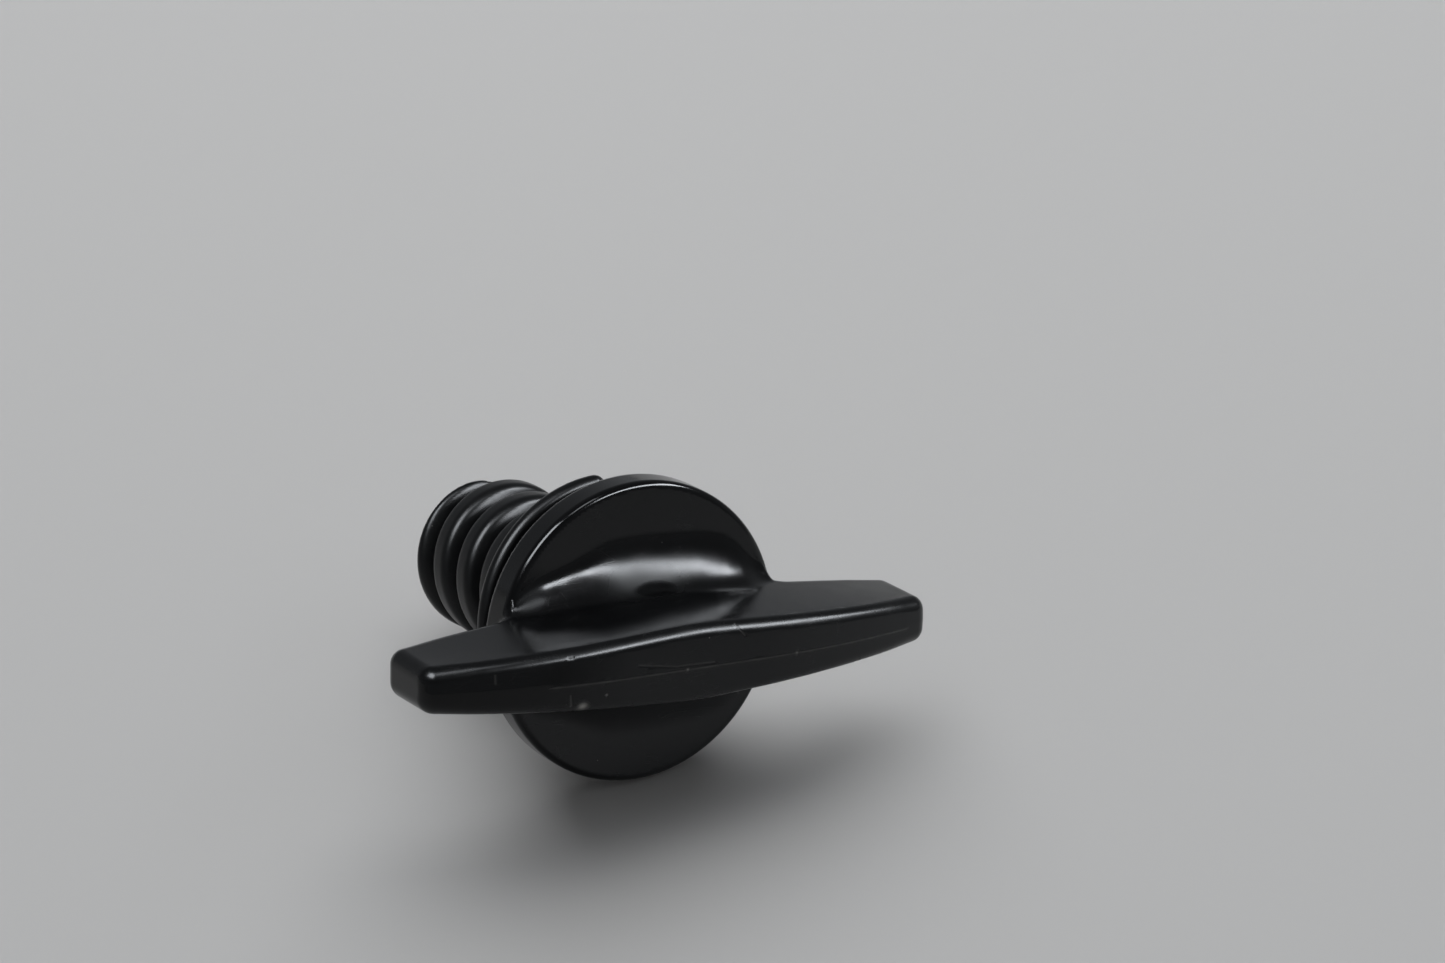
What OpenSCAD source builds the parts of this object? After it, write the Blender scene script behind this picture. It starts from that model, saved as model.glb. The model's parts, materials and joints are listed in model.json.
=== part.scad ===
// Screw plug with a winged grip, moulded in one piece.
// The plug is drawn upright on its own axis: the head's face lies at z = 0, the grip stands above it
// and the threaded shank hangs below. It is then laid down as it rests, on the rim of its head and
// on its last thread crest, with the tips of the grip along X.

/* [Head] */
// Diameter of the round head
head_d = 30; // [26:0.5:40]
// Thickness of the head at its rim
head_t = 3.9; // [3.2:0.1:6]
// Rounding of the rim on the grip's side
head_front_r = 1.3; // [0.4:0.1:1.8]
// Rounding of the rim on the thread's side
head_back_r = 0.8; // [0.3:0.1:1.2]

/* [Winged grip] */
// Length of the grip from tip to tip
grip_l = 54.8; // [46:0.2:80]
// Height of the grip's outer face above the head, at its middle
grip_h = 11.5; // [9:0.1:16]
// Length of the straight middle of the outer face
grip_flat = 14; // [4:1:24]
// Fall of the outer face from the middle to the tips
grip_fall = 3.1; // [1:0.1:5]
// Width of the outer face at its middle
grip_w = 7.6; // [6:0.1:11]
// Rise of the outer face from its edges to its mid line
grip_crown = 0.15; // [0:0.05:0.5]
// Slope of the sides, as extra width on each side at the head
grip_draft = 0.9; // [0.2:0.1:1.5]
// Length over which the sides bend at their middle
grip_bend = 5; // [1:0.5:12]
// Width of the tips
tip_w = 4.45; // [3:0.05:7]
// Height of the grip's flat underside above the head's face
grip_lift = 0.2; // [0:0.1:2]
// Reach of the fillet from the rim of the head out along the grip's underside
under_r = 1.2; // [0.4:0.1:3]
// Rounding of the grip's edges
edge_r = 0.6; // [0.2:0.05:0.9]
// Radius of the hollow fillet between the grip's sides and the head
root_r = 4; // [1.5:0.1:4.5]

/* [Neck and lip] */
// Step from the thread's crests out to the neck
neck_step = 0.3; // [0.1:0.1:1]
// Gap from the head to the middle of the lip where the lip starts
lip_gap = 4.6; // [3:0.1:7]
// Distance of the lip's edge from the rim of the head
lip_inset = 1.2; // [1:0.1:4]
// Thickness of the lip
lip_t = 1.7; // [1:0.1:3]
// Turn over which the blunt start of the lip is rounded
lip_nose = 10; // [4:1:20]
// Angle from the grip's right tip to the blunt start of the lip
lip_start = 83; // [0:1:359]

/* [Thread] */
// Diameter over the crests
thread_d = 16.6; // [13:0.1:20]
// Depth from crest to root
thread_depth = 2.7; // [1.5:0.1:3.5]
// Pitch of the single right-hand start
pitch = 5.05; // [4:0.05:7]
// Fullness of the ridges, where 1 is a plain wave and more is blunter
ridge_full = 1.8; // [1:0.1:3]
// Bare stretch of the root between two ridges
root_land = 0.2; // [0.1:0.05:1]
// Length from the back of the head to the tail end
shank_l = 28.6; // [20:0.1:45]
// Rounding of the tail end
tail_r = 1; // [0.4:0.1:1.6]

/* [Resting place] */
// Roll of the grip about the plug's axis as it lies
roll = -10; // [-25:1:25]

/* [Hidden] */
$fn = 96;

// Steps of the curved grids
turn_steps = 36;
ridge_steps = 10;
arc_steps = 4;
fillet_steps = 6;
inner_stations = 12;
outer_stations = 8;
// Most of a side's height that the fillet may take
side_share = 0.7;
// How far the foot of the fillet is sunk into the head
sink = 0.05;
// How far the feet of a thread ridge dip below the root
ridge_dip = 0.18;
// How far the swept ridge runs into the core
root_depth = 0.8;
// Share of its width and thickness that the lip keeps at its blunt start, where it leaves the neck
nose_reach = 0.01;
nose_thick = 0.5;
// How far the end of the lip is sunk into the head
lip_sink = 0.1;
// Room between the thread's crests and the form that rounds the tail
tail_room = 0.1;

head_r = head_d / 2;
grip_half = grip_l / 2;
// The grip's outer face leaves its straight middle on an arc that reaches the tips
arch_run = (grip_l - grip_flat) / 2;
arch_r = (arch_run * arch_run + grip_fall * grip_fall) / (2 * grip_fall);
// The fillet under the grip falls to the widest part of the rim, and runs on out of sight inside the head
under_fall = grip_lift + head_front_r;
under_inside = -head_t / 2;
under_blend = head_front_r + head_back_r;

thread_r = thread_d / 2;
root_core_r = thread_r - thread_depth;
neck_r = thread_r + neck_step;
lip_r = head_r - lip_inset;
lip_root_r = thread_r + neck_step / 2;
lip_z = -head_t - lip_gap;
neck_end = lip_z - lip_t / 2 - neck_step;
neck_cone = (neck_r - root_core_r) / 2;
tail_z = -head_t - shank_l;

ridge_half = (pitch - root_land) / 2;
tail_form_r = thread_r + tail_room;

function smooth(x) = let (c = min(1, max(0, x))) c * c * (3 - 2 * c);

// Middle of the ridge's and the lip's thickness at an angle, which runs on turn after turn
function helix_z(angle) = lip_z + pitch * (angle - lip_start) / 360;

// Height of the thread above its root at a distance along the axis from a ridge's middle
function ridge_h(a) =
    (thread_depth + ridge_dip) * (1 + cos(180 * pow(min(1, abs(a) / ridge_half), ridge_full))) / 2 - ridge_dip;

// Distance along the axis to the nearest ridge, and the shank's radius at an angle and height
function ridge_gap(angle, z) =
    let (turns = (z - helix_z(angle)) / pitch)
    (turns - round(turns)) * pitch;
function tail_limit(z) =
    let (d = tail_r - (z - tail_z))
    tail_form_r - (d > 0 ? tail_r - sqrt(max(0, tail_r * tail_r - d * d)) : 0);
function shank_r(angle, z) = min(tail_limit(z), root_core_r + max(0, ridge_h(ridge_gap(angle, z))));

// The plug tips until a point of the shank or the lip meets the floor that the rim's back edge stands on
rim_r = head_r - head_back_r;
rim_z = head_t - head_back_r;
down = 270 - roll;
rest_step = 0.1;
function touch_tilt(r, z) =
    let (a = rim_r - r, b = -z - rim_z)
    acos(-head_back_r / norm([a, b])) - atan2(b, a);
lip_down_z = helix_z(down < lip_start ? down + 360 : down) - lip_t / 2;
tilt = min(
    touch_tilt(lip_r, lip_down_z),
    min([for (z = [tail_z:rest_step:neck_end - pitch]) touch_tilt(shank_r(down, z), z)])
);
rest_h = rim_r * cos(tilt) + rim_z * sin(tilt) + head_back_r;
// Middle of the laid plug from front to back
reach_front = grip_h * cos(tilt) + grip_w / 2 * cos(roll) * sin(tilt);
reach_back = -tail_z * cos(tilt) + (root_core_r + thread_depth / 2) * sin(tilt);
rest_y = (reach_front - reach_back) / 2;

// Outline of the grip at a distance u from its middle
function grip_top(u) =
    let (run = max(0, abs(u) - grip_flat / 2))
    grip_h - arch_r + sqrt(arch_r * arch_r - run * run);
function grip_under(u) =
    let (d = abs(u) - head_r, share = min(1, max(0, 1 - d / under_r)))
    d > 0 ? grip_lift - under_fall * (1 - sqrt(1 - share * share))
    : -head_front_r + (under_inside + head_front_r) * smooth(-d / under_blend);
// Share of the taper reached at a distance u: straight outside a short bend in the middle
function bent(u) = sqrt(u * u + pow(grip_bend / 2, 2)) - grip_bend / 2;
function grip_side(u) = grip_w / 2 + (tip_w - grip_w) / 2 * bent(u) / bent(grip_half);
function grip_foot(u) = grip_side(u) + grip_draft * (1 - pow(u / grip_half, 2));
// The fillet spreads on the head's face, and narrows where the face runs out
function fillet_w(u) =
    let (face_r = head_r - head_front_r)
    let (chord = abs(u) < face_r ? sqrt(face_r * face_r - u * u) : 0)
    max(0, min(root_r, chord - grip_foot(u)));

// Points of one side of a grip section, from its underside to the mid line of its outer face
function grip_half_section(u, inset) =
    let (
        top = grip_top(u) - inset - edge_r,
        under = grip_under(u) + inset + edge_r,
        side = grip_side(u) - inset,
        foot = grip_foot(u) - inset,
        spread = fillet_w(u),
        low = max(-sink, under + sink),
        rise = min(root_r, (top - low) * side_share)
    )
    concat(
        [for (i = [0:arc_steps])
            let (t = 90 * i / arc_steps)
            [foot - edge_r + edge_r * sin(t), under - edge_r * cos(t)]],
        [for (i = [0:fillet_steps])
            let (t = 90 * i / fillet_steps, up = rise * (1 - cos(t)))
            [foot + (side - foot) * up / (top - low) + spread * (1 - sin(t)), low + up]],
        [for (i = [0:arc_steps])
            let (t = 90 * i / arc_steps)
            [side - edge_r + edge_r * cos(t), top + edge_r * sin(t)]]
    );
function mirrored(points) = [for (i = [len(points) - 1:-1:0]) [-points[i][0], points[i][1]]];
function grip_section(u, inset) =
    let (half = grip_half_section(u, inset))
    concat(half, [[0, grip_top(u) - inset + grip_crown]], mirrored(half));

// Where the sections stand along the grip, with how far each is drawn in to round the tips
function stations() =
    let (
        flat_half = grip_half - edge_r,
        clear = head_r + under_r,
        inner = [for (i = [1:inner_stations]) [head_r * i / inner_stations, 0]],
        fillet = [for (i = [1:arc_steps])
            [head_r + under_r * (1 - cos(90 * i / arc_steps)), 0]],
        outer = [for (i = [1:outer_stations])
            [clear + (flat_half - clear) * i / outer_stations, 0]],
        tip = [for (i = [1:arc_steps])
            let (t = 90 * i / arc_steps)
            [flat_half + edge_r * sin(t), edge_r * (1 - cos(t))]],
        right = concat(inner, fillet, outer, tip),
        left = [for (i = [len(right) - 1:-1:0]) [-right[i][0], right[i][1]]]
    )
    concat(left, [[0, 0]], right);

// A closed skin over equal rings of points, with flat ends
module skin(rings) {
    n = len(rings[0]);
    last = len(rings) - 1;
    points = [for (ring = rings) each ring];
    sides = [for (i = [0:last - 1], j = [0:n - 1])
        let (a = i * n + j, b = i * n + (j + 1) % n)
        each [[a, b + n, b], [a, a + n, b + n]]];
    first_end = [for (j = [0:n - 1]) j];
    last_end = [for (j = [n - 1:-1:0]) last * n + j];
    polyhedron(points, concat(sides, [first_end, last_end]), convexity = 10);
}

// Equal steps of a turn between two angles
function turn(from, to) =
    let (steps = ceil((to - from) / 360 * turn_steps))
    [for (i = [0:steps]) from + (to - from) * i / steps];

// A section of [radius, height] points swept along the thread's helix.
// Each station is an angle and the shares of the section's reach beyond base_r and of its height kept there.
module helix_sweep(section, stations, base_r) {
    skin([for (i = [len(stations) - 1:-1:0])
        let (angle = stations[i][0], reach = stations[i][1], thick = stations[i][2])
        [for (p = section)
            let (r = base_r + (p[0] - base_r) * reach)
            [r * cos(angle), r * sin(angle), p[1] * thick + helix_z(angle)]]]);
}

module head() {
    rotate_extrude() {
        translate([0, head_back_r - head_t]) square([head_r, head_t - head_back_r - head_front_r]);
        translate([0, -head_t / 2]) square([head_r - head_front_r, head_t / 2]);
        translate([0, -head_t]) square([head_r - head_back_r, head_t / 2]);
        translate([head_r - head_front_r, -head_front_r]) circle(head_front_r);
        translate([head_r - head_back_r, head_back_r - head_t]) circle(head_back_r);
    }
}

module grip() {
    skin([for (s = stations())
        [for (p = grip_section(s[0], s[1])) [s[0], p[0], p[1]]]]);
}

module neck() {
    rotate_extrude() polygon([
        [0, neck_end - neck_cone],
        [root_core_r, neck_end - neck_cone],
        [neck_r, neck_end],
        [neck_r, -head_t / 2],
        [0, -head_t / 2]
    ]);
}

// The lip is the top turn of the thread's helix, drawn out wide. It runs on into the back of the head.
module lip() {
    edge = [for (i = [0:2 * arc_steps])
        let (t = 90 * (i / arc_steps - 1))
        [lip_r + lip_t / 2 * (cos(t) - 1), lip_t / 2 * sin(t)]];
    section = concat([[lip_root_r, -lip_t / 2]], edge, [[lip_root_r, lip_t / 2]]);
    end = lip_start + (lip_gap + lip_t / 2 + lip_sink) / pitch * 360;
    nose = [for (i = [0:arc_steps])
        let (t = 90 * i / arc_steps)
        [
            lip_start + lip_nose * (1 - cos(t)),
            nose_reach + (1 - nose_reach) * sin(t),
            nose_thick + (1 - nose_thick) * sin(t)
        ]];
    rest = [for (angle = turn(lip_start + lip_nose, end))
        if (angle > lip_start + lip_nose) [angle, 1, 1]];
    helix_sweep(section, concat(nose, rest), lip_root_r);
}

module thread() {
    profile = [for (i = [-ridge_steps / 2:ridge_steps / 2])
        let (a = 2 * ridge_half * i / ridge_steps)
        [root_core_r + ridge_h(a), a]];
    section = concat(
        [[root_core_r - root_depth, -ridge_half]],
        profile,
        [[root_core_r - root_depth, ridge_half]]
    );
    // The ridge starts beyond the tail end, which trims it, and ends inside the neck
    from = lip_start + (tail_z - pitch - lip_z) / pitch * 360;
    to = lip_start + (neck_end + ridge_half - lip_z) / pitch * 360;
    intersection() {
        union() {
            translate([0, 0, tail_z]) cylinder(r = root_core_r, h = neck_end - tail_z);
            helix_sweep(section, [for (angle = turn(from, to)) [angle, 1, 1]], root_core_r);
        }
        tail_form();
    }
}

// Everything inside the rounded end of the shank
module tail_form() {
    rotate_extrude() {
        translate([0, tail_z + tail_r]) square([tail_form_r, -tail_z - tail_r - head_t / 2]);
        translate([0, tail_z]) square([tail_form_r - tail_r, 2 * tail_r]);
        intersection() {
            translate([tail_form_r - tail_r, tail_z + tail_r]) circle(tail_r);
            translate([0, tail_z]) square([tail_form_r, 2 * tail_r]);
        }
    }
}

module screw_plug() {
    color([0.07, 0.07, 0.075])
    translate([0, rest_y, rest_h])
    rotate([90 - tilt, 0, 0])
    rotate([0, 0, roll])
    union() {
        head();
        grip();
        neck();
        lip();
        thread();
    }
}

screw_plug();
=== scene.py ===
# Looks of a moulded screw plug with a winged grip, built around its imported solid.
import json
import math

import bmesh
import bpy
import numpy as np
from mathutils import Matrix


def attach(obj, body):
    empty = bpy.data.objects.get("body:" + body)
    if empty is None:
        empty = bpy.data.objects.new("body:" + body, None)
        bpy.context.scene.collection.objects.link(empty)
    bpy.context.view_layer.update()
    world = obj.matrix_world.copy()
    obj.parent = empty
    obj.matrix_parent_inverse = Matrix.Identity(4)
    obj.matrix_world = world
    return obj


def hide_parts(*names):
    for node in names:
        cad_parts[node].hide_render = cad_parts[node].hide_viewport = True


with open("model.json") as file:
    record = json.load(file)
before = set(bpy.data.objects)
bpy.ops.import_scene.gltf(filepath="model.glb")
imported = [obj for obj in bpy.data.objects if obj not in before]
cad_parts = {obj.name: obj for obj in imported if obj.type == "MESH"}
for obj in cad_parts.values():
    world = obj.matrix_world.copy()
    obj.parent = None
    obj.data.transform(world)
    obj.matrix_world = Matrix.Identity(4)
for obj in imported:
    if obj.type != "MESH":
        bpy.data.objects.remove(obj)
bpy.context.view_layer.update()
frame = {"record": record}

import openvdb
from mathutils import Euler, Matrix, Vector

# Sizes in millimetres on the plug's own axes: u along the grip, v across it, w up from the head's face
MM = 0.001
ROLL = -10.0  # turn of the grip about the plug's axis, in degrees

# Head
HEAD_R = 15.0
HEAD_T = 3.9
HEAD_FRONT_R = 0.7
HEAD_BACK_R = 0.8

# Grip
GRIP_HALF = 27.4
GRIP_H = 11.5
GRIP_FLAT = 14.0  # straight middle of the outer face, which falls in an arc to the tips
GRIP_FALL = 3.1
GRIP_W = 7.6
TIP_W = 4.45
GRIP_CROWN = 0.15  # rise of the outer face's middle line over its edges
GRIP_DRAFT = 0.9  # how far the flanks stand out at their foot
GRIP_BEND = 5.0  # stretch over which the flanks bend in the middle
EDGE_R = 1.15
TIP_R = 1.35
TIP_OVER = (22.0, 26.0)  # where the rounding of the edges grows towards the tips
GRIP_LIFT = 0.2  # underside of the wings over the head's face
UNDER_R = 1.2  # how far the fillet under the wings reaches out from the rim
RIM_FALL = 1.3  # how far it reaches down the rim

# Root fillet between the grip and the head
ROOT_R = 4.0
ROOT_FADE = 1.2  # what it loses along the wings
ROOT_FADE_OVER = (6.0, 14.0)
ROOT_CLOSE = 1.4  # what it loses close to the rim
ROOT_CLOSE_OVER = (10.5, 14.5)
ROOT_WIDE = 1.5  # how much farther it reaches over the head in the middle
ROOT_WIDE_FROM = (-8.5, -2.5)
ROOT_WIDE_TO = (13.0, 9.0)
TRIM_R = 0.5

# Neck and lip
NECK_R = 8.6
NECK_CONE = 2.0  # radius that the neck's end loses per millimetre
NECK_FILLET = 0.5
LIP_GAP = 4.6  # from the head's back to the middle of the lip's start
LIP_R = 13.8
LIP_T = 1.7
LIP_START = 83.0  # in degrees about the plug's axis, like the length of the rounded nose
LIP_NOSE = 10.0
LIP_SINK = 0.1

# Thread and tail
THREAD_R = 8.3
THREAD_DEPTH = 2.7
PITCH = 5.05
ROOT_LAND = 0.2
RIDGE_FULL = 2.2  # fullness of the crests
RIDGE_DIP = 0.18  # how far the ridges' flanks run on below the core's surface
TAIL_Z = -32.5
TAIL_R = 1.0
TAIL_ROOM = 0.1
TAIL_EDGE_R = 0.8

# Values that follow from them
ARCH_RUN = GRIP_HALF - GRIP_FLAT / 2
ARCH_R = (ARCH_RUN**2 + GRIP_FALL**2) / (2 * GRIP_FALL)
UNDER_FALL = GRIP_LIFT + RIM_FALL
CORE_R = THREAD_R - THREAD_DEPTH
RIDGE_HALF = (PITCH - ROOT_LAND) / 2
LIP_Z = -HEAD_T - LIP_GAP
LIP_ROOT_R = (THREAD_R + NECK_R) / 2
LIP_RUN = (LIP_GAP + LIP_T / 2 + LIP_SINK) / PITCH * 360
NECK_END = LIP_Z - LIP_T / 2 - (NECK_R - THREAD_R)

# Marks of moulding and wear on the grip's outer face, by their places along and across it
LINE_R = 0.1
PARTING_V = -0.3
PARTING_FROM = (-16.0, -15.0)
PARTING_TO = (25.0, 24.0)
PARTING_RISE = 0.04
PARTING_WORN = 0.2
PARTING_WAVES = (1.7, 0.61)
SCRATCHES = (
    ((-6.4, 0.8), (-2.4, 0.15), (1.7, 0.05)),
    ((4.1, 3.3), (5.0, 2.2)),
    ((-13.5, -1.3), (-13.4, -2.4)),
    ((-20.85, 1.4), (-20.85, 0.6)),
    ((-13.7, 2.4), (-13.2, 2.4)),
)
SCRATCH_DEPTH = 0.03
# Places and sizes of nicks, the first one scuffed pale
NICKS = ((-12.2, -2.5, 0.4), (-9.8, -1.6, 0.12), (-1.2, -0.3, 0.15), (10.8, -0.3, 0.15))
NICK_DEPTH = 0.05
NICK_NARROW = 1.5
# A sink mark where the grip is thickest
SINK_AT = (0.4, 4.85, 2.36)
SINK_SIZE = (2.0, 1.0, 0.7)
SINK_DEPTH = 0.06
# A sliver of flash at the rim
FLASH_FROM = (-13.75, 5.4, -0.4)
FLASH_TO = (-13.95, 4.0, 0.3)
FLASH_R = 0.1

# How pale the marks are worn
SCRATCH_PALE = 0.1
PARTING_PALE = 0.15
FIRST_NICK_PALE = 0.8
NICK_PALE = 0.4

# How dull the flanks, the edges and the band of the root fillet are, and where each begins and ends
FLANK_HAZE = 0.2
FLANK_FOOT = (0.0, 1.0)
FLANK_TOP = (EDGE_R, EDGE_R + 1.5)
EDGE_HAZE = 0.33
EDGE_NEAR = (1.5 * EDGE_R, 0.5 * EDGE_R)
BAND_HAZE = 0.08
BAND_FROM = (-5.0, -2.0)
BAND_TO = (12.0, 9.0)
BAND_FOOT = (0.1, 0.5)
BAND_TOP = (3.5, 2.0)
# Cloudy patches of the root fillet: place and size along the grip and up from the head, then strength
CLOUDS = ((-0.9, 2.0, 3.4, 1.3, 0.5), (-12.3, 0.6, 1.4, 0.7, 0.45))
# The sink mark stays clear of haze, by the square of the distance in the mark's own sizes
SINK_CLEAR = (0.3, 1.9)

# Colours of the plastic and of its worn marks
PLASTIC = (0.003, 0.0031, 0.0034)
SCUFFED = (0.3, 0.29, 0.27)

# Shine of the plastic: its roughness by the smears, and what haze, satin and wear add
SHINE = 0.2
GLOSS = (0.09, 0.15)
HAZE_ROUGH = 0.45
SATIN_ROUGH = 0.2
WORN_ROUGH = 0.5
# Behind the head the plastic turns satin
SATIN_BELOW = (-HEAD_T - 0.2, -HEAD_T + 0.3)

# Smears a few millimetres wide, and a fine moulded grain with its heights on gloss and on satin
NOISE_ROUGHNESS = 0.6
SMEAR_SCALE = 0.3
SMEAR_DETAIL = 5
SMEAR_SPAN = (0.35, 0.7)
GRAIN_SCALE = 7
GRAIN_DETAIL = 3
GRAIN_HEIGHTS = (0.2, 0.45)
RELIEF_STRENGTH = 0.35
RELIEF_HEIGHT = 0.03 * MM

# Hairline scratches: their turns in radians with their scales along the line, then their other values
HAIR_RUNS = ((0.25, 0.1), (-0.9, 0.16))
HAIR_ACROSS = 0.7
HAIR_WIDTH = 0.02
HAIR_BROKEN = (0.5, 0.62)
HAIR_PALE = 0.02
HAIR_HEIGHT = -0.15

# Specks of dust
DUST_SCALE = 0.9
DUST_EDGE = (0.05, 0.09)
DUST_PALE = 0.3
DUST_CHANCE = (0.95, 0.96)

# Surroundings: brightness by the sine of the elevation, and the tint that the lamps have too
SKY = ((0.0, 0.36), (0.5, 0.18))
COOL = (0.91, 0.95, 1.0)

# Floor, with its half size in metres
FLOOR_HALF = 1.5
FLOOR_COLOUR = (0.55, 0.528, 0.502)
FLOOR_ROUGH = 0.6

# Camera: place in millimetres, turn in degrees, lens and sensor in millimetres
CAMERA_AT = (-195.929, -361.451, 279.951)
CAMERA_TURN = (58.3458, 0.8405, -30.8694)
CAMERA_LENS = 124.36
CAMERA_SENSOR = 36.0

# Mesh
VOXEL = 0.3
MARGIN = 3 * VOXEL
BOX_LOW = np.array([-GRIP_HALF, -HEAD_R, TAIL_Z]) - MARGIN
BOX_HIGH = np.array([GRIP_HALF, HEAD_R, GRIP_H + GRIP_CROWN]) + MARGIN
SLOPE_STEP = 0.01
SETTLE_ROUNDS = 5
LEAST_SLOPE = 0.05
# Faces are cut finer around the marks, out to so many radii of a line
FINE_CUTS = 3
LINE_REACH = 4
NICK_REACH = 3
PARTING_SEEN = 0.2


def eased(x, start, end):
    """Smooth step from 0 at the start to 1 at the end, which may be the lower of the two."""
    c = np.clip((x - start) / (end - start), 0, 1)
    return c * c * (3 - 2 * c)


def rounded_and(radius, *sides):
    """Inside all the sides at once, with the convex edges between them rounded."""
    beyond = np.sqrt(sum(np.maximum(s + radius, 0) ** 2 for s in sides))
    return beyond + np.minimum(-radius, np.maximum.reduce(sides))


def filleted_or(a, b, reach_a, reach_b):
    """Inside either of two solids, with a hollow fillet that reaches so far from each."""
    p, q = a / reach_a, b / reach_b
    hollow = np.maximum(1, np.minimum(p, q)) - np.hypot(np.maximum(1 - p, 0), np.maximum(1 - q, 0))
    return hollow * np.minimum(reach_a, reach_b)


# The shape: each solid's function is negative inside and close to a distance near the surface
def head(r, w):
    rounding = np.where(w > -HEAD_T / 2, HEAD_FRONT_R, HEAD_BACK_R)
    return rounded_and(rounding, r - HEAD_R, np.abs(w + HEAD_T / 2) - HEAD_T / 2)


def bent(u):
    """Distance from the grip's middle, with the corner there rounded."""
    return np.sqrt(u * u + (GRIP_BEND / 2) ** 2) - GRIP_BEND / 2


def grip_side(u):
    """Half the width of the outer face."""
    return GRIP_W / 2 + (TIP_W - GRIP_W) / 2 * bent(u) / bent(GRIP_HALF)


def grip_foot(u):
    """Half the width at the foot of the flanks."""
    return grip_side(u) + GRIP_DRAFT * (1 - (u / GRIP_HALF) ** 2)


def grip_top(u):
    """Height of the outer face without its crown."""
    run = np.maximum(0, np.abs(u) - GRIP_FLAT / 2)
    return GRIP_H - ARCH_R + np.sqrt(ARCH_R**2 - run**2)


def path_gap(at, path):
    """Distance from points to a line of straight stretches."""
    gaps = []
    for start, end in zip(path, path[1:]):
        run = [e - b for b, e in zip(start, end)]
        off = [x - b for x, b in zip(at, start)]
        t = np.clip(sum(o * d for o, d in zip(off, run)) / sum(d * d for d in run), 0, 1)
        gaps.append(np.sqrt(sum((o - t * d) ** 2 for o, d in zip(off, run))))
    return np.minimum.reduce(gaps)


def parting(u, v):
    """Share of the parting line at points of the outer face, worn down in places."""
    along = eased(u, *PARTING_FROM) * eased(u, *PARTING_TO)
    short, long = (wave * u for wave in PARTING_WAVES)
    worn = 1 - PARTING_WORN + PARTING_WORN * np.sin(short) * np.sin(long + 1)
    return along * worn * np.exp(-(((v - PARTING_V) / LINE_R) ** 2))


def scratched(u, v):
    """Share of the scratches at points of the outer face."""
    return np.maximum.reduce([np.exp(-((path_gap((u, v), path) / LINE_R) ** 2)) for path in SCRATCHES])


def nicked(u, v):
    """Share of each nick at points of the outer face."""
    return [np.exp(-(((u - x) ** 2 + NICK_NARROW * (v - y) ** 2) / size**2)) for x, y, size in NICKS]


def relief(u, v):
    """Height of the marks on the outer face."""
    cuts = np.maximum(SCRATCH_DEPTH * scratched(u, v), NICK_DEPTH * np.maximum.reduce(nicked(u, v)))
    return PARTING_RISE * parting(u, v) - cuts


def grip(u, v, w):
    top, side, foot = grip_top(u), grip_side(u), grip_foot(u)
    share = np.clip(w / (top - EDGE_R), 0, 1)
    arch_slope = np.maximum(0, np.abs(u) - GRIP_FLAT / 2) / ARCH_R
    crown = GRIP_CROWN * (1 - np.abs(v) / side)
    outer = (w - top - crown - relief(u, v)) * np.sqrt(1 - arch_slope**2)
    flank = (np.abs(v) - (foot + (side - foot) * share)) / math.hypot(1, GRIP_DRAFT / GRIP_H)
    beneath = filleted_or(GRIP_LIFT - w, np.hypot(u, v) - HEAD_R, UNDER_FALL, UNDER_R)
    beneath = np.maximum(beneath, -HEAD_T / 2 - w)
    rounding = EDGE_R + (TIP_R - EDGE_R) * eased(np.abs(u), *TIP_OVER)
    return rounded_and(rounding, outer, flank, np.abs(u) - GRIP_HALF, beneath)


def lip(r, angle, w):
    """The wide top turn of the thread's helix: blunt rounded start, far end run into the head."""
    reach, nose = LIP_R - LIP_ROOT_R, math.radians(LIP_NOSE) * LIP_R
    passes = []
    for turn in (np.mod(angle - LIP_START, 360) + 360 * k for k in (-1, 0, 1)):
        p, q = np.maximum(r - LIP_ROOT_R, 0) / reach, np.maximum(1 - turn / LIP_NOSE, 0)
        h = np.hypot(p, q)
        edge = (h - 1) * h / np.maximum(np.hypot(p / reach, q / nose), 1 / reach**2)
        blade = rounded_and(LIP_T / 2, np.abs(w - LIP_Z - PITCH * turn / 360) - LIP_T / 2, edge)
        passes.append(np.maximum(blade, np.radians(turn - LIP_RUN) * r))
    return np.minimum.reduce(passes)


def neck(r, w):
    cone = (r - NECK_R + NECK_CONE * (NECK_END - w)) / math.hypot(1, NECK_CONE)
    return np.maximum(np.maximum(r - NECK_R, cone), w + HEAD_T / 2)


def thread(r, angle, w):
    turns = (w - LIP_Z) / PITCH - (angle - LIP_START) / 360
    a = (turns - np.round(turns)) * PITCH
    share = np.minimum(1, np.abs(a) / RIDGE_HALF)
    phase = math.pi * share**RIDGE_FULL
    rise = THREAD_DEPTH + RIDGE_DIP
    height = rise * (1 + np.cos(phase)) / 2 - RIDGE_DIP
    steep = rise * np.sin(phase) / 2 * math.pi * RIDGE_FULL * share ** (RIDGE_FULL - 1) / RIDGE_HALF
    ridge = (r - CORE_R - height) / np.sqrt(1 + steep**2)
    form = rounded_and(TAIL_R, r - THREAD_R - TAIL_ROOM, TAIL_Z - w)
    return np.maximum(rounded_and(TAIL_EDGE_R, np.minimum(ridge, r - CORE_R), form), w + HEAD_T)


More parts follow.
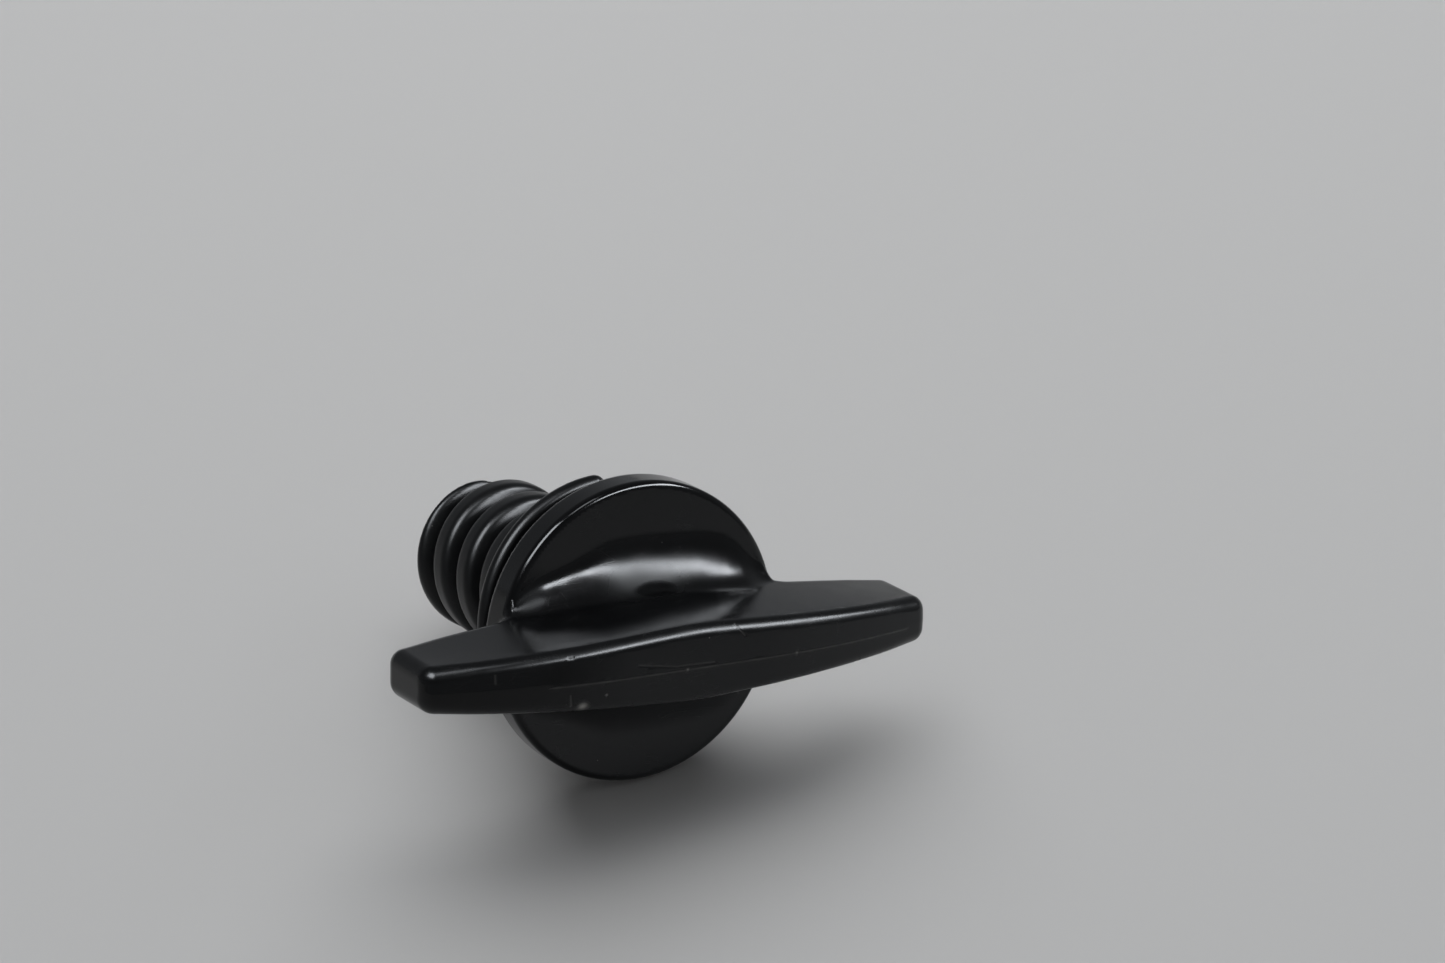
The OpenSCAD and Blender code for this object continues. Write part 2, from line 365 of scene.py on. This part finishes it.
def plug(points):
    u, v, w = points
    r, angle = np.hypot(u, v), np.degrees(np.arctan2(v, u))
    bar, disc = grip(u, v, w), head(r, w)
    along = np.abs(u)
    rise = ROOT_R - ROOT_FADE * eased(along, *ROOT_FADE_OVER)
    rise = rise - ROOT_CLOSE * eased(along, *ROOT_CLOSE_OVER)
    spread = rise + ROOT_WIDE * eased(u, *ROOT_WIDE_FROM) * eased(u, *ROOT_WIDE_TO)
    web = rounded_and(TRIM_R, filleted_or(bar, disc, spread, rise), r - HEAD_R)
    sink = sum(((x - c) / size) ** 2 for x, c, size in zip(points, SINK_AT, SINK_SIZE))
    flash = path_gap(points, (FLASH_FROM, FLASH_TO)) - FLASH_R
    top = np.minimum.reduce([bar, disc, web]) + SINK_DEPTH * np.exp(-sink)
    top = np.minimum(top, flash)
    shank = np.minimum(thread(r, angle, w), neck(r, w))
    stem = filleted_or(shank, lip(r, angle, w), NECK_FILLET, NECK_FILLET)
    return filleted_or(top, stem, NECK_FILLET, NECK_FILLET)


def slope(points):
    """Gradient of the shape at points, one column each."""
    columns = []
    for axis in np.eye(3) * SLOPE_STEP:
        shift = axis[:, None]
        columns.append((plug(points + shift) - plug(points - shift)) / (2 * SLOPE_STEP))
    return np.array(columns)


def marked(points):
    """Where the fine marks lie and the mesh needs small faces."""
    u, v, w = points
    outer = w > grip_top(np.clip(u, -GRIP_HALF, GRIP_HALF)) - EDGE_R
    lines = (parting(u, PARTING_V) > PARTING_SEEN) & (np.abs(v - PARTING_V) < LINE_REACH * LINE_R)
    for path in SCRATCHES:
        lines |= path_gap((u, v), path) < LINE_REACH * LINE_R
    for x, y, size in NICKS:
        lines |= np.hypot(u - x, v - y) < size + NICK_REACH * LINE_R
    return outer & lines | (path_gap(points, (FLASH_FROM, FLASH_TO)) < LINE_REACH * FLASH_R)


def refined(points, quads):
    """The mesh with the faces at the marks cut into smaller ones."""
    fine = marked(points)
    cage = bmesh.new()
    corners = [cage.verts.new(p) for p in points.T]
    edges = set()
    for quad in quads:
        face = cage.faces.new([corners[i] for i in quad])
        if all(fine[i] for i in quad):
            edges.update(face.edges)
    bmesh.ops.subdivide_edges(cage, edges=list(edges), cuts=FINE_CUTS, use_grid_fill=True)
    cage.verts.index_update()
    points = np.array([v.co for v in cage.verts]).T
    faces = [[v.index for v in f.verts] for f in cage.faces]
    cage.free()
    return points, faces


def settled(points):
    """Points moved onto the surface."""
    for _ in range(SETTLE_ROUNDS):
        g = slope(points)
        step = -plug(points) / np.maximum((g * g).sum(0), LEAST_SLOPE)
        points = points + g * np.clip(step, -VOXEL / 2, VOXEL / 2)
    return points


def skin():
    """Vertices, faces and normals of the plug's surface, in millimetres."""
    axes = [np.arange(lo, hi, VOXEL) for lo, hi in zip(BOX_LOW, BOX_HIGH)]
    v, w = np.meshgrid(axes[1], axes[2], indexing="ij")
    field = np.array([plug(np.array([np.full_like(v, u), v, w])) for u in axes[0]], np.float32)
    grid = openvdb.FloatGrid(float(field.max()))
    grid.copyFromArray(field)
    points, quads = grid.convertToQuads(0.0)
    points = settled(BOX_LOW[:, None] + np.array(points, float).T * VOXEL)
    points, faces = refined(points, quads)
    points = settled(points)
    normals = slope(points)
    return points, faces, (normals / np.linalg.norm(normals, axis=0)).T


def resting_place():
    """Matrix that lays the upright plug down, from the thread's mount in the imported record."""
    mount = next(m for m in frame["record"]["mounts"] if m["name"] == "thread")
    axis = -Vector(mount["axis"]).normalized()
    tip = math.atan2(-axis.y, axis.z)
    turn = Matrix.Rotation(tip, 4, "X") @ Matrix.Rotation(math.radians(ROLL), 4, "Z")
    face = Vector(mount["pos_m"]) + axis * HEAD_T * MM
    return Matrix.Translation(face) @ turn @ Matrix.Scale(MM, 4)


def scuffs(points):
    """How pale the marks are worn, from 0 to 1."""
    u, v, w = points
    first, *others = nicked(u, v)
    lines = np.maximum(SCRATCH_PALE * scratched(u, v), PARTING_PALE * parting(u, v))
    pale = np.maximum.reduce([lines, FIRST_NICK_PALE * first] + [NICK_PALE * n for n in others])
    return pale * (w > GRIP_H / 2)


def haze(points):
    """How dull the plastic is on the grip's flanks, on its handled edges and in the root fillet."""
    u, v, w = points
    below = grip_top(np.clip(u, -GRIP_HALF, GRIP_HALF)) - w
    within = grip_side(u) - np.abs(v)
    flank = eased(w, *FLANK_FOOT) * eased(below, *FLANK_TOP)
    edge = eased(below, *EDGE_NEAR) * eased(within, *EDGE_NEAR)
    band = eased(u, *BAND_FROM) * eased(u, *BAND_TO) * eased(w, *BAND_FOOT) * eased(w, *BAND_TOP)
    cloud = sum(k * np.exp(-(((u - x) / a) ** 2) - ((w - z) / b) ** 2) for x, z, a, b, k in CLOUDS)
    off_sink = ((u - SINK_AT[0]) / SINK_SIZE[0]) ** 2 + ((w - SINK_AT[2]) / SINK_SIZE[2]) ** 2
    dull = FLANK_HAZE * flank + EDGE_HAZE * edge + BAND_HAZE * band + cloud * (v > 0)
    return dull * eased(off_sink + (v < 0), *SINK_CLEAR)


def make_plug():
    """The plug's skin as one object, with its own places, its wear and its haze kept at the points."""
    points, faces, normals = skin()
    place = resting_place()
    mesh = bpy.data.meshes.new("screw_plug_skin")
    mesh.from_pydata(points.T.tolist(), [], faces)
    for name, kind, field, values in (
        ("plug_mm", "FLOAT_VECTOR", "vector", points.T),
        ("scuff", "FLOAT", "value", scuffs(points)),
        ("haze", "FLOAT", "value", haze(points)),
    ):
        kept = mesh.attributes.new(name, kind, "POINT")
        kept.data.foreach_set(field, np.ravel(values).astype(np.float32))
    mesh.transform(place)
    mesh.update()
    turn = np.array(place.to_3x3().normalized())
    normals = normals @ turn.T
    facing = sum(Vector(normals[p.vertices[0]]).dot(p.normal) for p in mesh.polygons)
    if facing < 0:
        mesh.flip_normals()
    mesh.polygons.foreach_set("use_smooth", np.ones(len(mesh.polygons), bool))
    mesh.normals_split_custom_set_from_vertices(normals.tolist())
    piece = bpy.data.objects.new("screw_plug_skin", mesh)
    bpy.context.scene.collection.objects.link(piece)
    return piece


def add_node(tree, kind, inputs, **settings):
    """A shader node with its settings, its inputs set to values or linked to other nodes."""
    node = tree.nodes.new("ShaderNode" + kind)
    for name, value in settings.items():
        setattr(node, name, value)
    for name, value in inputs.items():
        if isinstance(value, bpy.types.NodeSocket):
            tree.links.new(value, node.inputs[name])
        else:
            node.inputs[name].default_value = value
    return node


def attribute(tree, name, output):
    """What the mesh keeps at its points under a name."""
    return add_node(tree, "Attribute", {}, attribute_name=name).outputs[output]


def noise(tree, place, scale, detail):
    inputs = {"Vector": place, "Scale": scale, "Detail": detail, "Roughness": NOISE_ROUGHNESS}
    return add_node(tree, "TexNoise", inputs).outputs["Fac"]


def ranged(tree, value, low, high, to_low, to_high):
    """A value carried from one range to another and kept inside it."""
    inputs = {"Value": value, "From Min": low, "From Max": high, "To Min": to_low, "To Max": to_high}
    return add_node(tree, "MapRange", inputs).outputs["Result"]


def ramped(tree, value, stops):
    """A colour that goes from one stop to the other as a value rises."""
    ramp = add_node(tree, "ValToRGB", {"Fac": value})
    for stop, (at, colour) in zip(ramp.color_ramp.elements, stops):
        stop.position = at
        stop.color = (*colour, 1)
    return ramp.outputs["Color"]


def joined(tree, operation, *values):
    """Values joined two by two with one operation."""
    result = values[0]
    for value in values[1:]:
        result = add_node(tree, "Math", {0: result, 1: value}, operation=operation).outputs[0]
    return result


def hairlines(tree, place, smear):
    """Hairline handling scratches in two directions, broken by the smears."""
    hairs = []
    for turn, reach in HAIR_RUNS:
        stretch = (reach, HAIR_ACROSS, HAIR_ACROSS)
        along = add_node(tree, "Mapping", {"Vector": place, "Rotation": (0, 0, turn), "Scale": stretch})
        inputs = {"Vector": along.outputs["Vector"], "Scale": 1.0}
        cells = add_node(tree, "TexVoronoi", inputs, feature="DISTANCE_TO_EDGE")
        hairs.append(ranged(tree, cells.outputs["Distance"], 0, HAIR_WIDTH, 1, 0))
    broken = ranged(tree, smear, *HAIR_BROKEN, 0, 1)
    return joined(tree, "MULTIPLY", joined(tree, "MAXIMUM", *hairs), broken)


def dust(tree, place):
    """Sparse specks of dust."""
    specks = add_node(tree, "TexVoronoi", {"Vector": place, "Scale": DUST_SCALE})
    chance = add_node(tree, "SeparateColor", {"Color": specks.outputs["Color"]}).outputs["Red"]
    dots = ranged(tree, specks.outputs["Distance"], *DUST_EDGE, DUST_PALE, 0)
    return joined(tree, "MULTIPLY", dots, ranged(tree, chance, *DUST_CHANCE, 0, 1))


def plastic():
    material = bpy.data.materials.new("plug_plastic")
    material.use_nodes = True
    tree = material.node_tree
    shader = tree.nodes["Principled BSDF"]
    place = attribute(tree, "plug_mm", "Vector")
    scuff = attribute(tree, "scuff", "Fac")
    dull = attribute(tree, "haze", "Fac")
    height = add_node(tree, "SeparateXYZ", {"Vector": place}).outputs["Z"]
    satin = ranged(tree, height, *SATIN_BELOW, 1, 0)
    smear = noise(tree, place, SMEAR_SCALE, SMEAR_DETAIL)
    grain = noise(tree, place, GRAIN_SCALE, GRAIN_DETAIL)
    hair = hairlines(tree, place, smear)

    # Colour
    pale = joined(tree, "MAXIMUM", scuff, dust(tree, place), joined(tree, "MULTIPLY", hair, HAIR_PALE))
    colour = ramped(tree, pale, ((0.0, PLASTIC), (1.0, SCUFFED)))
    tree.links.new(colour, shader.inputs["Base Color"])

    # Shine
    rough = ranged(tree, smear, *SMEAR_SPAN, *GLOSS)
    for share, added in ((dull, HAZE_ROUGH), (satin, SATIN_ROUGH), (pale, WORN_ROUGH)):
        rough = joined(tree, "ADD", rough, ranged(tree, share, 0, 1, 0, added))
    tree.links.new(rough, shader.inputs["Roughness"])
    shader.inputs["Specular IOR Level"].default_value = SHINE

    # Relief
    grained = joined(tree, "MULTIPLY", grain, ranged(tree, satin, 0, 1, *GRAIN_HEIGHTS))
    texture = joined(tree, "ADD", grained, joined(tree, "MULTIPLY", hair, HAIR_HEIGHT))
    inputs = {"Strength": RELIEF_STRENGTH, "Distance": RELIEF_HEIGHT, "Height": texture}
    bump = add_node(tree, "Bump", inputs)
    tree.links.new(bump.outputs["Normal"], shader.inputs["Normal"])
    return material


def floor_material():
    material = bpy.data.materials.new("pale_floor")
    material.use_nodes = True
    shader = material.node_tree.nodes["Principled BSDF"]
    shader.inputs["Base Color"].default_value = (*FLOOR_COLOUR, 1)
    shader.inputs["Roughness"].default_value = FLOOR_ROUGH
    return material


def make_floor():
    corners = [(x * FLOOR_HALF, y * FLOOR_HALF, 0) for x, y in ((-1, -1), (1, -1), (1, 1), (-1, 1))]
    mesh = bpy.data.meshes.new("floor")
    mesh.from_pydata(corners, [], [(0, 1, 2, 3)])
    floor = bpy.data.objects.new("floor", mesh)
    floor.data.materials.append(floor_material())
    bpy.context.scene.collection.objects.link(floor)


def make_lamp(name, azimuth, elevation, distance, size, level, reflected=True):
    """A soft panel that faces the plug and only shows in reflections, or else only lights surfaces.

    Azimuth 0 is +Y and 90 is +X, in degrees. Distance and size are in metres, level is its brightness.
    """
    a, e = math.radians(azimuth), math.radians(elevation)
    at = Vector((math.sin(a) * math.cos(e), math.cos(a) * math.cos(e), math.sin(e))) * distance
    data = bpy.data.lights.new(name, "AREA")
    data.shape = "RECTANGLE"
    data.size, data.size_y = size
    data.energy = math.pi * size[0] * size[1] * level
    data.color = COOL
    lamp = bpy.data.objects.new(name, data)
    lamp.location = at
    lamp.rotation_euler = (-at).to_track_quat("-Z", "Y").to_euler()
    lamp.visible_diffuse = not reflected
    lamp.visible_glossy = reflected
    bpy.context.scene.collection.objects.link(lamp)


def make_camera():
    data = bpy.data.cameras.new("camera")
    data.sensor_width = CAMERA_SENSOR
    data.lens = CAMERA_LENS
    camera = bpy.data.objects.new("camera", data)
    camera.location = Vector(CAMERA_AT) * MM
    camera.rotation_euler = Euler([math.radians(a) for a in CAMERA_TURN])
    bpy.context.scene.collection.objects.link(camera)
    bpy.context.scene.camera = camera


def make_world():
    """Plain surroundings that are brighter near the horizon."""
    world = bpy.data.worlds.new("studio")
    world.use_nodes = True
    tree = world.node_tree
    direction = add_node(tree, "TexCoord", {}).outputs["Generated"]
    height = add_node(tree, "SeparateXYZ", {"Vector": direction}).outputs["Z"]
    stops = [(sine, [level * share for share in COOL]) for sine, level in SKY]
    tree.links.new(ramped(tree, height, stops), tree.nodes["Background"].inputs["Color"])
    bpy.context.scene.world = world


piece = make_plug()
piece.data.materials.append(plastic())
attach(piece, "root")
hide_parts("screw_plug")

make_floor()
make_lamp("back_panel", 30, 60, distance=0.65, size=(0.9, 0.9), level=2.0, reflected=False)
make_lamp("right_strip", 130, 38, distance=1.0, size=(0.9, 0.18), level=42)
make_lamp("left_panel", -105, 62, distance=1.0, size=(0.5, 0.5), level=24)
make_lamp("high_panel", 165, 75, distance=1.0, size=(0.26, 0.26), level=9)
make_world()
make_camera()
bpy.context.scene.view_settings.view_transform = "Standard"
